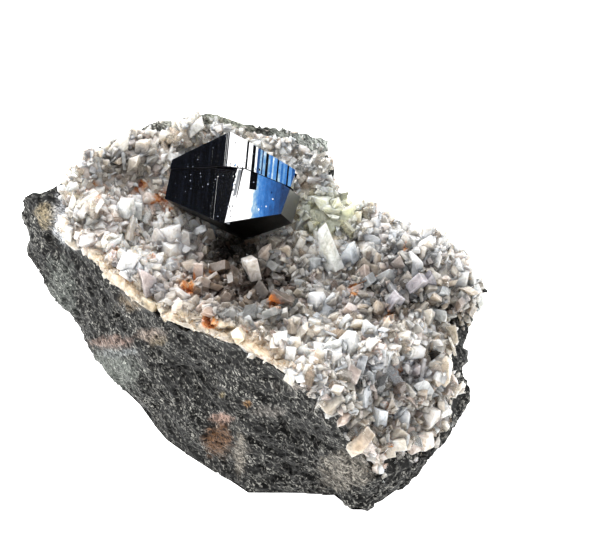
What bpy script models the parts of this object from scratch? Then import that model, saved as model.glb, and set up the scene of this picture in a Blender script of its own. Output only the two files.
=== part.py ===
"""An anatase crystal on a crust of quartz and feldspar crystals, on a block of gneiss.

The block stands on its flat underside, with the crust on top. Metres, +Z up, and the lengths
below are in millimetres.
"""

import math
import random

import bmesh
import bpy
from mathutils import Matrix, Vector, noise
from mathutils.bvhtree import BVHTree

MM = 0.001
GAP = 0.3
BED_GAP = 0.4
MOST_SHELL = 1.8
NOISE_SEED = 11

# The block of gneiss, as (x, y, z) points anticlockwise from its left tip.
# The rim is the edge between the walls and the top, and the shoulder is where the top levels out.
RIM = [
    (-25.6, 7.8, 19.3), (-20.5, 3.0, 18.0), (-15.5, -3.5, 18.0), (-11.0, -8.5, 17.8),
    (-5.5, -10.5, 17.8), (-0.5, -13.5, 17.8), (4.5, -17.0, 17.5), (8.5, -19.3, 15.5),
    (11.5, -20.8, 9.0), (14.2, -19.2, 4.0), (17.4, -15.8, 3.0), (20.8, -11.7, 3.0),
    (22.6, -7.2, 4.0), (22.6, -1.0, 6.0), (25.0, 3.2, 9.0), (22.9, 6.5, 10.8),
    (18.7, 7.8, 12.0), (13.5, 10.0, 13.3), (9.6, 10.6, 13.6), (8.4, 12.2, 16.5),
    (7.6, 13.8, 21.4), (-1.5, 16.8, 22.0), (-6.0, 17.6, 22.2), (-11.5, 16.9, 21.9),
    (-17.0, 13.8, 20.4), (-21.0, 10.6, 19.0),
]
BELLY = [
    (-25.6, 6.6, 12.0), (-22.9, 2.4, 10.5), (-19.0, -2.1, 8.5), (-15.5, -5.7, 8.0),
    (-12.7, -9.0, 6.5), (-7.6, -12.8, 6.5), (-1.6, -16.0, 8.0), (4.8, -18.4, 8.0),
    (9.5, -20.8, 7.0), (12.0, -21.6, 4.5), (15.2, -19.0, 2.2), (18.0, -15.6, 2.0),
    (21.2, -11.3, 2.0), (22.9, -6.8, 2.5), (22.8, -1.0, 4.0), (23.9, 2.8, 5.5),
    (21.0, 6.6, 6.5), (14.5, 10.8, 8.0), (9.5, 12.4, 9.0), (6.5, 15.2, 11.0),
    (-1.5, 17.6, 11.0), (-8.0, 17.6, 11.0), (-16.0, 14.0, 11.0), (-21.8, 10.3, 12.0),
]
FOOT = [
    (-19.0, 3.2, 0), (-16.6, -1.4, 0), (-13.8, -5.8, 0), (-10.8, -10.2, 0),
    (-6.5, -14.4, 0), (-1.4, -17.8, 0), (4.5, -18.5, 0), (8.0, -18.4, 0),
    (9.7, -20.4, 0), (11.7, -20.9, 0), (14.2, -19.0, 0), (17.3, -15.5, 0),
    (20.0, -11.2, 0), (21.3, -6.8, 0), (21.0, -1.0, 0), (19.6, 4.0, 0),
    (13.5, 8.5, 0), (6.0, 12.5, 0), (-3.0, 14.8, 0), (-10.0, 14.0, 0),
    (-15.5, 10.5, 0), (-18.0, 7.0, 0),
]
SHOULDER = [
    (-20.5, 7.2, 18.6), (-17.5, 3.3, 17.0), (-13.0, -2.0, 16.5), (-9.0, -6.5, 16.0),
    (-4.5, -8.5, 15.8), (0.5, -11.0, 15.5), (4.5, -14.0, 15.0), (7.5, -15.0, 13.5),
    (11.0, -13.5, 12.5), (14.5, -9.5, 11.2), (17.4, -4.0, 10.6), (19.8, 1.4, 10.4),
    (19.2, 4.6, 11.4), (15.5, 6.8, 12.2), (11.3, 8.0, 12.8), (7.5, 9.4, 13.6),
    (5.5, 12.2, 16.4), (-1.5, 15.0, 16.4), (-6.0, 15.4, 16.6), (-11.0, 14.2, 17.4),
    (-16.0, 11.6, 17.6), (-19.5, 9.3, 17.6),
]
LEDGE_STEP = 5.0
LEDGE_DEPTH = 0.4
LEDGE_DIP = 0.25
AXIS = Vector((1.0, -1.0))
STEPS_PER_SIDE = 2
WALL_RINGS = 6
TOP_RINGS = 2
HOLLOW_RINGS = 5
HOLLOW_CENTRE = (1.0, -1.0, 11.7)
HOLLOW_END = 0.8

# The crust: a sheet over the block's top, from thin at the rim to thick inside.
SHEET_EDGE = 1.0
SHEET_DEPTH = 2.6
SHEET_ROOT = 1.2
BARE_TIP_START = -18.5
BARE_TIP_SHARE = 0.85
BARE_BACK_START = (-14.0, 12.5)
BARE_BACK_SHARE = 0.3
HALF_SIZE = 26.0
ABOVE = 60.0
STEEPEST = 0.2
CRYSTAL_COUNT = 155
CRYSTAL_SPACING = 1.8
CRYSTAL_SEED = 7
CRYSTAL_REACH = 0.95
SHADE_CENTRE = Vector((-1.8, 5.6))
SHADE_RADII = (5.2, 3.0)

# The anatase crystal: its centre, its axes and its faces' distances from the centre.
ANATASE_CENTRE = (-2.34, 8.0, 20.5)
ANATASE_LONG_AXIS = (0.971, -0.192, 0.139)
ANATASE_SIDE_AXIS = (0.22, 0.508, -0.833)
GIRDLE_HALF_WIDTH = 4.83
PYRAMID_ANGLE = math.radians(68.3)
STEEP_ANGLE = math.radians(73.0)
LEFT_END = 7.2
LEFT_TILT = math.radians(8.0)
RIGHT_END = 6.6
STEP_HEIGHT = 1.5
STEP_SHIFT = 0.9
STEP_OVERLAP = 0.1


def link(name, mesh):
    """Add an object with this name to the scene."""
    thing = bpy.data.objects.new(name, mesh)
    bpy.context.collection.objects.link(thing)
    return thing


def finish(name, mesh, colour, roughness):
    """Turn a mesh in millimetres into a named piece in metres with its own material."""
    mesh.transform(Matrix.Scale(MM, 4))
    mesh.name = name
    material = bpy.data.materials.new(name)
    material.use_nodes = True
    shader = material.node_tree.nodes["Principled BSDF"]
    shader.inputs["Base Color"].default_value = (*colour, 1)
    shader.inputs["Roughness"].default_value = roughness
    mesh.materials.clear()
    mesh.materials.append(material)
    return link(name, mesh)


def toward(outline, angle):
    """The point where a level ray from the axis meets a closed outline."""
    ray = Vector((math.cos(angle), math.sin(angle)))
    for start, end in zip(outline, outline[1:] + outline[:1]):
        first = Vector(start)
        last = Vector(end)
        before = ray.cross(first.xy - AXIS)
        after = ray.cross(last.xy - AXIS)
        if before <= 0 < after:
            return first.lerp(last, -before / (after - before))
    raise ValueError("an outline does not go round the axis")


def rings_between(lower, upper, count):
    """Rings from one ring of points up to, but without, the next one."""
    return [[a.lerp(b, step / count) for a, b in zip(lower, upper)] for step in range(count)]


def loft(rings):
    """A closed solid that stands on the first ring, with the last ring filled."""
    solid = bmesh.new()
    bmesh.ops.create_circle(solid, segments=len(rings[0]), radius=1, cap_ends=True)
    station = solid.verts.layers.int.new("station")
    for number, vert in enumerate(solid.verts):
        vert[station] = number
        vert.co = rings[0][number]
    edges = list(solid.edges)
    for ring in rings[1:]:
        made = bmesh.ops.extrude_edge_only(solid, edges=edges)["geom"]
        edges = [item for item in made if isinstance(item, bmesh.types.BMEdge)]
        raised = {item for item in made if isinstance(item, bmesh.types.BMVert)}
        edges = [edge for edge in edges if set(edge.verts) <= raised]
        for vert in raised:
            vert.co = ring[vert[station]]
    bmesh.ops.edgeloop_fill(solid, edges=edges)
    bmesh.ops.triangulate(solid, faces=solid.faces, quad_method="SHORT_EDGE")
    bmesh.ops.recalc_face_normals(solid, faces=solid.faces)
    return solid


def outline_rings():
    angles = []
    for start, end in zip(RIM, RIM[1:] + RIM[:1]):
        for step in range(STEPS_PER_SIDE):
            point = Vector(start).lerp(Vector(end), step / STEPS_PER_SIDE).xy - AXIS
            angles.append(math.atan2(point.y, point.x))
    return [[toward(outline, angle) for angle in angles] for outline in (FOOT, BELLY, RIM, SHOULDER)]


def hollow_ring(shoulder, reach):
    """One ring of the top's hollow, from the shoulder at 0 to the centre at 1."""
    centre = Vector(HOLLOW_CENTRE)
    ring = []
    for point in shoulder:
        level = point.lerp(centre, reach)
        level.z = point.z + (centre.z - point.z) * (1 - (1 - reach) ** 3)
        ring.append(level)
    return ring


def top_rings(rim, shoulder):
    rings = rings_between(rim, shoulder, TOP_RINGS)
    for step in range(HOLLOW_RINGS + 1):
        rings.append(hollow_ring(shoulder, HOLLOW_END * step / HOLLOW_RINGS))
    return rings


def broken(point):
    """How far a point of the broken stone moves, with blunt ledges along its foliation."""
    coarse = noise.noise_vector(point / 9.0) * 0.8
    middle = noise.noise_vector(point / 3.7 + Vector((5, 2, 9))) * 0.7
    fine = noise.noise_vector(point / 1.7 + Vector((1, 7, 3))) * 0.3
    outward = Vector((*(point.xy - AXIS), 0)).normalized()
    height = point.z + LEDGE_DIP * point.x + 2 * noise.noise(point / 6.0)
    ledge = (height / LEDGE_STEP) % 1 - 0.5
    return coarse + middle + fine + outward * ledge * LEDGE_DEPTH


def make_block():
    foot, belly, rim, shoulder = outline_rings()
    rings = rings_between(foot, belly, WALL_RINGS) + rings_between(belly, rim, WALL_RINGS)
    solid = loft(rings + top_rings(rim, shoulder))
    for vert in solid.verts:
        shift = broken(vert.co)
        if vert.co.z < MM:
            shift.z = 0
        vert.co += shift
        vert.co.z = max(vert.co.z, 0)
    return solid


def bare_share(point):
    """How much of the way from rim to shoulder is bare stone, at the left tip and the back."""
    tip = (point.x - BARE_TIP_START) / (RIM[0][0] - BARE_TIP_START)
    back = BARE_BACK_SHARE * (point.x > BARE_BACK_START[0] and point.y > BARE_BACK_START[1])
    return max(0, back, BARE_TIP_SHARE * tip)


def make_sheet():
    """The crust's base, which still reaches into the block."""
    _, _, rim, shoulder = outline_rings()
    edge = [start.lerp(end, bare_share(start)) for start, end in zip(rim, shoulder)]
    surface = top_rings(edge, shoulder)
    low = [[point - Vector((0, 0, SHEET_ROOT)) for point in ring] for ring in surface]
    high = []
    for number, ring in enumerate(surface):
        depth = SHEET_EDGE + (SHEET_DEPTH - SHEET_EDGE) * min(1, number / TOP_RINGS)
        high.append([lift(point, depth) for point in ring])
    return loft(low[::-1] + high)


def lift(point, depth):
    lump = noise.noise(point / 4.5) * 0.9 + noise.noise(point / 2.0) * 0.45
    return point + Vector((0, 0, depth + lump))


def prism(radius, height, draw):
    """A six-sided quartz prism with a pointed end, its foot at the origin."""
    solid = bmesh.new()
    bmesh.ops.create_cone(
        solid, cap_ends=True, segments=6, radius1=radius, radius2=radius * 0.9, depth=height
    )
    top = max(solid.faces, key=lambda face: face.calc_center_median().z)
    tip = bmesh.ops.poke(solid, faces=[top])["verts"]
    bmesh.ops.translate(solid, verts=tip, vec=(radius * draw.uniform(-0.3, 0.3), 0, radius))
    return solid


def block_crystal(radius, height, draw):
    """A blocky feldspar with a slanted end face, its middle at the origin."""
    solid = bmesh.new()
    bmesh.ops.create_cube(solid, size=1)
    flat = draw.uniform(0.55, 1.0)
    bmesh.ops.scale(solid, verts=solid.verts, vec=(radius * 2, radius * 2 * flat, height))
    slant = draw.uniform(0.2, 0.7)
    lean = draw.uniform(-0.35, 0.35)
    for vert in solid.verts:
        if vert.co.z > 0:
            vert.co.z += vert.co.x * slant + vert.co.y * lean
        vert.co.x += vert.co.y * 0.35
    return solid


def to_mesh(solid, name):
    mesh = bpy.data.meshes.new(name)
    solid.to_mesh(mesh)
    solid.free()
    return mesh


def joined(base, others, operation):
    """The mesh that a Boolean makes of a base mesh and several others."""
    group = bpy.data.collections.new("cutters")
    bpy.context.scene.collection.children.link(group)
    body = link("base", base)
    for mesh in others:
        group.objects.link(bpy.data.objects.new("cutter", mesh))
    boolean = body.modifiers.new("boolean", "BOOLEAN")
    boolean.operation = operation
    boolean.operand_type = "COLLECTION"
    boolean.collection = group
    boolean.solver = "MANIFOLD"
    bpy.context.view_layer.update()
    graph = bpy.context.evaluated_depsgraph_get()
    result = bpy.data.meshes.new_from_object(body.evaluated_get(graph))
    for thing in list(group.objects) + [body]:
        bpy.data.objects.remove(thing)
    bpy.data.collections.remove(group)
    return result


def scatter(sheet, draw):
    """Spread places evenly over the top of the sheet, as (point, normal) pairs."""
    tree = BVHTree.FromBMesh(sheet)
    places = []
    while len(places) < CRYSTAL_COUNT:
        start = Vector((draw.uniform(-HALF_SIZE, HALF_SIZE), draw.uniform(-HALF_SIZE, HALF_SIZE), ABOVE))
        kept = draw.random()
        point, normal, _, _ = tree.ray_cast(start, Vector((0, 0, -1)))
        if point is None or normal.z * kept > STEEPEST:
            continue
        apart = all((point - other).length > CRYSTAL_SPACING for other, _ in places)
        if apart and clear(point):
            places.append((point, normal))
    return places


def clear(point):
    """Whether a crystal may stand here, inside the rim and not in front of the anatase."""
    level = point.xy - AXIS
    edge = toward(RIM, math.atan2(level.y, level.x)).xy - AXIS
    shade = point.xy - SHADE_CENTRE
    outside = (shade.x / SHADE_RADII[0]) ** 2 + (shade.y / SHADE_RADII[1]) ** 2 > 1
    return level.length < edge.length * CRYSTAL_REACH and outside


def turned(normal, draw, spread):
    """A random turn that points +Z somewhere about the normal."""
    aim = normal + Vector([draw.gauss(0, spread) for _ in range(3)])
    spin = Matrix.Rotation(draw.uniform(0, 2 * math.pi), 4, "Z")
    return aim.to_track_quat("Z", "Y").to_matrix().to_4x4() @ spin


def make_crystals(sheet):
    draw = random.Random(CRYSTAL_SEED)
    meshes = []
    for point, normal in scatter(sheet, draw):
        radius = 0.6 + 0.75 * draw.random() ** 2
        height = radius * draw.uniform(1.9, 3.0)
        form = prism if draw.random() < 0.3 else block_crystal
        solid = form(radius, height, draw)
        solid.transform(Matrix.Translation(point) @ turned(normal, draw, 0.45))
        meshes.append(to_mesh(solid, "crystal"))
    return meshes


def crystal_axes():
    """The anatase crystal's two side axes and its long axis, square to each other."""
    long_axis = Vector(ANATASE_LONG_AXIS).normalized()
    side = Vector(ANATASE_SIDE_AXIS)
    side = (side - long_axis * side.dot(long_axis)).normalized()
    return long_axis.cross(side), side, long_axis


def cut_by(faces):
    """The convex solid inside a set of faces, given as (outward direction, distance) pairs."""
    solid = bmesh.new()
    bmesh.ops.create_cube(solid, size=ABOVE)
    for normal, distance in faces:
        geometry = list(solid.verts) + list(solid.edges) + list(solid.faces)
        cut = bmesh.ops.bisect_plane(
            solid, geom=geometry, plane_co=normal * distance, plane_no=normal, clear_outer=True
        )["geom_cut"]
        edges = [item for item in cut if isinstance(item, bmesh.types.BMEdge)]
        bmesh.ops.contextual_create(solid, geom=edges)
    bmesh.ops.recalc_face_normals(solid, faces=solid.faces)
    return solid


def make_anatase(gap):
    """The dipyramid with cut-off ends, grown by a gap on every side, as a mesh.

    Its upper part has slipped a little to the left along a step.
    """
    up, back, right = crystal_axes()
    left_end = up * math.sin(LEFT_TILT) - right * math.cos(LEFT_TILT)
    ends = [(right, RIGHT_END + gap), (left_end, LEFT_END + gap)]
    sides = []
    for side in (up, -up, back, -back):
        for end in (right, -right):
            angle = STEEP_ANGLE if end == right and side in (-up, back) else PYRAMID_ANGLE
            normal = side * math.sin(angle) + end * math.cos(angle)
            sides.append((normal, GIRDLE_HALF_WIDTH * math.sin(angle) + gap))
    lower = cut_by(ends + sides + [(up, STEP_HEIGHT + gap)])
    slip = -right * STEP_SHIFT
    slipped = [(normal, distance + normal.dot(slip)) for normal, distance in sides]
    upper = cut_by(ends + slipped + [(-up, STEP_OVERLAP + gap - STEP_HEIGHT)])
    for half in (lower, upper):
        bmesh.ops.translate(half, verts=half.verts, vec=ANATASE_CENTRE)
    return joined(to_mesh(lower, "lower"), [to_mesh(upper, "upper")], "UNION")


def grown(solid, distance):
    """A copy of a solid with its surface moved outward."""
    copy = solid.copy()
    copy.normal_update()
    shifts = [vert.normal * distance * min(vert.calc_shell_factor(), MOST_SHELL) for vert in copy.verts]
    for vert, shift in zip(copy.verts, shifts):
        vert.co += shift
    return copy


def largest_body(mesh):
    """Keep the largest of a mesh's separate bodies."""
    solid = bmesh.new()
    solid.from_mesh(mesh)
    bmesh.ops.triangulate(solid, faces=solid.faces)
    left = set(solid.faces)
    bodies = []
    while left:
        front = [left.pop()]
        body = []
        while front:
            face = front.pop()
            body.append(face)
            pairs = [edge.link_faces for edge in face.edges if len(edge.link_faces) == 2]
            beside = {other for pair in pairs for other in pair} & left
            left -= beside
            front.extend(beside)
        bodies.append(body)
    bodies.sort(key=len)
    loose = [face for body in bodies[:-1] for face in body]
    bmesh.ops.delete(solid, geom=loose, context="FACES")
    return solid


def make_crust(block):
    sheet = make_sheet()
    crystals = make_crystals(sheet)
    crust = joined(to_mesh(sheet, "sheet"), crystals, "UNION")
    cutters = [to_mesh(grown(block, BED_GAP), "bed"), make_anatase(GAP)]
    return largest_body(joined(crust, cutters, "DIFFERENCE"))


def centre_on_base(meshes):
    """Move the meshes so that the middle of their shared box is over the origin."""
    corners = [vert.co for mesh in meshes for vert in mesh.vertices]
    middle = [(min(c[side] for c in corners) + max(c[side] for c in corners)) / 2 for side in (0, 1)]
    for mesh in meshes:
        mesh.transform(Matrix.Translation((-middle[0], -middle[1], 0)))


def main():
    for thing in list(bpy.data.objects):
        bpy.data.objects.remove(thing)
    noise.seed_set(NOISE_SEED)
    block = make_block()
    crust = to_mesh(make_crust(block), "crystal_crust")
    rock = to_mesh(block, "matrix_rock")
    anatase = make_anatase(0)
    centre_on_base([rock, crust, anatase])
    finish("matrix_rock", rock, (0.10, 0.10, 0.10), 0.85)
    finish("crystal_crust", crust, (0.72, 0.70, 0.66), 0.35)
    finish("anatase_crystal", anatase, (0.01, 0.012, 0.03), 0.12)


main()
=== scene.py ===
# An anatase crystal on a crust of feldspar and quartz, over a block of dark gneiss.
# Pieces are shaped in millimetres and brought to metres as they are finished.
import math
import random

import bmesh
import bpy
from mathutils import Matrix, Vector, noise
from mathutils.bvhtree import BVHTree


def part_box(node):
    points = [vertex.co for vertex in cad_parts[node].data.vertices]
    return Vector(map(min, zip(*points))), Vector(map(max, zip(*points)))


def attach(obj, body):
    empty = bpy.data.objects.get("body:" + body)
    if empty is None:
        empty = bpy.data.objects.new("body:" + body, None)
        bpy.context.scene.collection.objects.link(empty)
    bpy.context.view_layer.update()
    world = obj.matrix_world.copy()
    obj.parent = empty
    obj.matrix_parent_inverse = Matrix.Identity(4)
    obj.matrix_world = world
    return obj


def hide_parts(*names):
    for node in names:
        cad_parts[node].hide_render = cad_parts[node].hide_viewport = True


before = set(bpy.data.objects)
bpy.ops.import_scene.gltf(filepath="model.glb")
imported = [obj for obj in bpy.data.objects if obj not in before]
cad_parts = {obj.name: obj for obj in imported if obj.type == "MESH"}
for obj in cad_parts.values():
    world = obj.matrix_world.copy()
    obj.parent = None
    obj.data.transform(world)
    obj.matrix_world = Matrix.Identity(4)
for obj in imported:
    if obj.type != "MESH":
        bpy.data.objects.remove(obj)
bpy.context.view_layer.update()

mm = 0.001
hair = 0.001  # millimetres: too small a length to matter
mergeWithin = 0.0005
halvings = 4  # most times that a long edge is halved
noiseSeed = 5
noise.seed_set(noiseSeed)


def linear(hexColour):
    parts = [int(hexColour[i:i + 2], 16) / 255 for i in (1, 3, 5)]
    return tuple(p / 12.92 if p <= 0.04045 else ((p + 0.055) / 1.055) ** 2.4 for p in parts)


def rgba(hexColour):
    return (*linear(hexColour), 1)


def mixed(first, second, share):
    return tuple(a + (b - a) * share for a, b in zip(first, second))


def clamped(value):
    return min(1, max(0, value))


def ovalReach(pixel, centre, reach):
    # 0 in the middle of an oval of pixels, and 1 on its edge
    return math.hypot(*((p - c) / r for p, c, r in zip(pixel, centre, reach)))


def perMetre(size):
    # a pattern's scale, from its grain in millimetres
    return 1 / (size * mm)


def setNode(node, settings=None, links=None):
    # settings are the node's own properties, its inputs' values or a colour ramp's stops;
    # links go to inputs, from outputs or from a node's first output
    for key, value in (settings or {}).items():
        if key == "stops":
            elements = node.color_ramp.elements
            elements.remove(elements[1])
            for number, (position, colour) in enumerate(value):
                stop = elements.new(position) if number else elements[0]
                stop.position = position
                stop.color = colour
        elif isinstance(key, str) and key not in node.inputs:
            setattr(node, key, value)
        else:
            node.inputs[key].default_value = value
    for key, source in (links or {}).items():
        if isinstance(source, bpy.types.Node):
            source = source.outputs[0]
        node.id_data.links.new(source, node.inputs[key])
    return node


def addNode(tree, kind, settings=None, links=None):
    return setNode(tree.nodes.new("ShaderNode" + kind), settings, links)


multiplied = {"data_type": "RGBA", "blend_type": "MULTIPLY", 0: 1.0}  # settings of a Mix node


def newMaterial(name):
    material = bpy.data.materials.new(name)
    material.use_nodes = True
    tree = material.node_tree
    return material, tree, tree.nodes["Principled BSDF"]


def mergedCopy(node):
    # a CAD node's shape as one closed bmesh in millimetres
    solid = bmesh.new()
    solid.from_mesh(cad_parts[node].data)
    bmesh.ops.scale(solid, verts=solid.verts, vec=(1 / mm, 1 / mm, 1 / mm))
    bmesh.ops.remove_doubles(solid, verts=solid.verts, dist=mergeWithin)
    bmesh.ops.recalc_face_normals(solid, faces=solid.faces)
    return solid


def toMesh(solid, name):
    mesh = bpy.data.meshes.new(name)
    solid.to_mesh(mesh)
    solid.free()
    return mesh


def paint(mesh, tints):
    # a colour and a fourth value for each vertex
    layer = mesh.color_attributes.new("tint", "FLOAT_COLOR", "POINT")
    layer.data.foreach_set("color", [part for tint in tints for part in tint])


def linked(name, mesh):
    piece = bpy.data.objects.new(name, mesh)
    bpy.context.scene.collection.objects.link(piece)
    return piece


def finishPiece(name, mesh, materials, replaced=()):
    mesh.transform(Matrix.Scale(mm, 4))
    for material in materials:
        mesh.materials.append(material)
    piece = linked(name, mesh)
    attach(piece, "root")
    if replaced:
        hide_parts(*replaced)
    mesh.calc_loop_triangles()
    print(name, len(mesh.loop_triangles), "triangles")
    return piece


def refine(solid, isLong):
    # halves the edges that are too long, a few times over
    for _ in range(halvings):
        edges = [edge for edge in solid.edges if isLong(edge)]
        bmesh.ops.subdivide_edges(solid, edges=edges, cuts=1)
        bmesh.ops.triangulate(solid, faces=solid.faces)
    solid.normal_update()


view = {
    "elevation": math.radians(48.0),
    "distance": 350.0,
    "target": Vector((5.003, 3.637, 14.0)),
    "pixel": 0.11,  # millimetres a pixel at the target
    "middle": (300, 269),
    "width": 600,
    "sensor": 36.0,
    "clip": (0.01, 20),  # metres
}
viewUp = Vector((0, math.sin(view["elevation"]), math.cos(view["elevation"])))
viewBack = Vector((0, -math.cos(view["elevation"]), math.sin(view["elevation"])))
viewPoint = view["target"] + viewBack * view["distance"]


def pixelRay(x, y):
    aim = view["target"] + Vector(((x - view["middle"][0]) * view["pixel"], 0, 0))
    aim += viewUp * (view["middle"][1] - y) * view["pixel"]
    return viewPoint, (aim - viewPoint).normalized()


def toPixel(point):
    reach = point - viewPoint
    scale = view["distance"] / view["pixel"] / -reach.dot(viewBack)
    return view["middle"][0] + reach.x * scale, view["middle"][1] - reach.dot(viewUp) * scale


def makeCamera():
    data = bpy.data.cameras.new("camera")
    data.sensor_width = view["sensor"]
    data.lens = data.sensor_width * view["distance"] / view["pixel"] / view["width"]
    data.clip_start, data.clip_end = view["clip"]
    camera = bpy.data.objects.new("camera", data)
    camera.location = viewPoint * mm
    camera.rotation_euler = viewBack.to_track_quat("Z", "Y").to_euler()
    bpy.context.scene.collection.objects.link(camera)
    bpy.context.scene.camera = camera


block = {
    "edge": 0.5,  # longest edge where the stone shows
    "covered": 4.0,  # stone with crust this close above it is left coarse
    "leaf": Vector((0.44, -0.36, 0.82)).normalized(),  # square to the foliation
    "leafStretch": 2.0,
    "fullRelief": 2.5,  # stone at least this thick takes the full relief
    "skin": 0.05,  # the thickness is measured from this far below the surface
    "chips": (0.5, 5.0),  # height and width of the broken ledges
    "wander": (0.8, 3.0),  # how far the ledges' edges wander, and over what length
    "grit": (0.42, 1.6),
    "grain": (0.22, 0.6),
    "fleck": (0.08, 0.3),
    # dark mica, middle and pale quartz grains: where each starts in the pattern, and its colour
    "grains": [(0.38, "#010101"), (0.57, "#131413"), (0.76, "#afada5")],
    "grainSize": 1 / 4.2,
    "grainFlatness": 0.42,
    "speckleSize": 1 / 1.5,
    "bandSize": 1 / 0.24,
    "patchFade": 4.0,  # how sharply patches end where the stone turns away
    "patchEdge": (1.3, 0.6),  # where a patch ends, and how much of its reach it fades over
    "ragged": [(0.45, 0.9), (0.3, 0.35)],  # how much, and over what length, its edge is ragged
    "bareTint": "#808080",  # what the patches' colours blend into
    # patches by pixel: centre, reach in pixels, colour, strength
    "patches": [
        ((217, 440), (13, 15), "#5f4127", 0.85), ((222, 418), (12, 4), "#a98d80", 0.8),
        ((240, 455), (5, 20), "#8a8378", 0.7), ((112, 342), (20, 6), "#8a746a", 0.7),
        ((150, 335), (14, 6), "#85766b", 0.65), ((158, 340), (8, 5), "#8f8169", 0.6),
        ((45, 215), (9, 12), "#8f8268", 0.7), ((135, 300), (16, 9), "#84745f", 0.65),
        ((120, 352), (16, 5), "#8c9092", 0.5), ((108, 372), (30, 22), "#7f857e", 0.45),
        ((60, 300), (16, 40), "#7a807a", 0.35), ((290, 385), (16, 6), "#8b827a", 0.55),
        ((268, 412), (16, 6), "#86807a", 0.4), ((248, 404), (4, 4), "#a67a45", 0.6),
        ((222, 395), (3, 3), "#9c8a60", 0.5), ((330, 400), (14, 16), "#77787a", 0.4),
        ((235, 452), (16, 8), "#6f6a63", 0.4), ((228, 118), (60, 12), "#a9ada0", 0.85),
        ((300, 140), (44, 24), "#a3a8a2", 0.8), ((66, 218), (14, 22), "#c2c4c8", 0.75),
        ((160, 118), (40, 12), "#b4b6b0", 0.7), ((345, 470), (26, 18), "#8d867b", 0.5),
        ((470, 320), (14, 34), "#3c3d3c", 0.6),
    ],
}


def leafed(point):
    # squeezes the pattern across the foliation, so grains lie along it
    along = block["leaf"] * point.dot(block["leaf"])
    return point + along * (block["leafStretch"] - 1)


def cellStep(point, width):
    # a different level for each broken chip
    apart = 3.7
    cell = noise.voronoi(point / width)[1][0]
    return noise.noise(cell * apart)


def patchColour(point, normal):
    # the colour of the patches over a point, and how far they cover the plain stone;
    # they fade out round the corner, where the stone turns away from the photo's view
    pixel = toPixel(point)
    facing = clamped(1 + block["patchFade"] * normal.dot(viewBack))
    end, fade = block["patchEdge"]
    colour = linear(block["bareTint"])
    cover = 0
    ragged = sum(share * noise.noise(point / length) for share, length in block["ragged"])
    for centre, reach, tint, strength in block["patches"]:
        away = ovalReach(pixel, centre, reach) + ragged
        if away < end:
            share = facing * strength * clamped((end - away) / fade)
            colour = mixed(colour, linear(tint), share if cover else 1)
            cover = max(cover, share)
    return (*colour, cover)


def makeBlock(bedTree):
    solid = mergedCopy("matrix_rock")
    rise = Vector((0, 0, 1))

    def isLong(edge):
        middle = (edge.verts[0].co + edge.verts[1].co) / 2
        if edge.calc_length() < block["edge"] or middle.z < hair:
            return False
        return bedTree.ray_cast(middle, rise, block["covered"])[0] is None

    refine(solid, isLong)
    mesh = toMesh(solid, "gneiss_block")
    normals = [vert.normal.copy() for vert in mesh.vertices]
    tree = BVHTree.FromPolygons([v.co for v in mesh.vertices], [p.vertices for p in mesh.polygons])
    reliefs = []
    for vert, normal in zip(mesh.vertices, normals):
        across = tree.ray_cast(vert.co - normal * block["skin"], -normal, block["fullRelief"])[3]
        reliefs.append(1 if across is None else across / block["fullRelief"])
    chipHeight, chipWidth = block["chips"]
    gritHeight, gritWidth = block["grit"]
    grainHeight, grainWidth = block["grain"]
    wander, wanderLength = block["wander"]
    fleckHeight, fleckWidth = block["fleck"]
    for vert, normal, relief in zip(mesh.vertices, normals, reliefs):
        place = leafed(vert.co)
        moved = place + wander * noise.noise_vector(place / wanderLength)
        lift = chipHeight * cellStep(moved, chipWidth)
        lift += gritHeight * cellStep(place, gritWidth)
        lift += grainHeight * noise.noise(place / grainWidth)
        lift += fleckHeight * noise.noise(place / fleckWidth)
        vert.co += normal * lift * relief
        vert.co.z = max(vert.co.z, 0)
    paint(mesh, [patchColour(vert.co, normal) for vert, normal in zip(mesh.vertices, normals)])
    finishPiece("gneiss_block", mesh, [gneissMaterial()], ["matrix_rock"])


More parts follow.
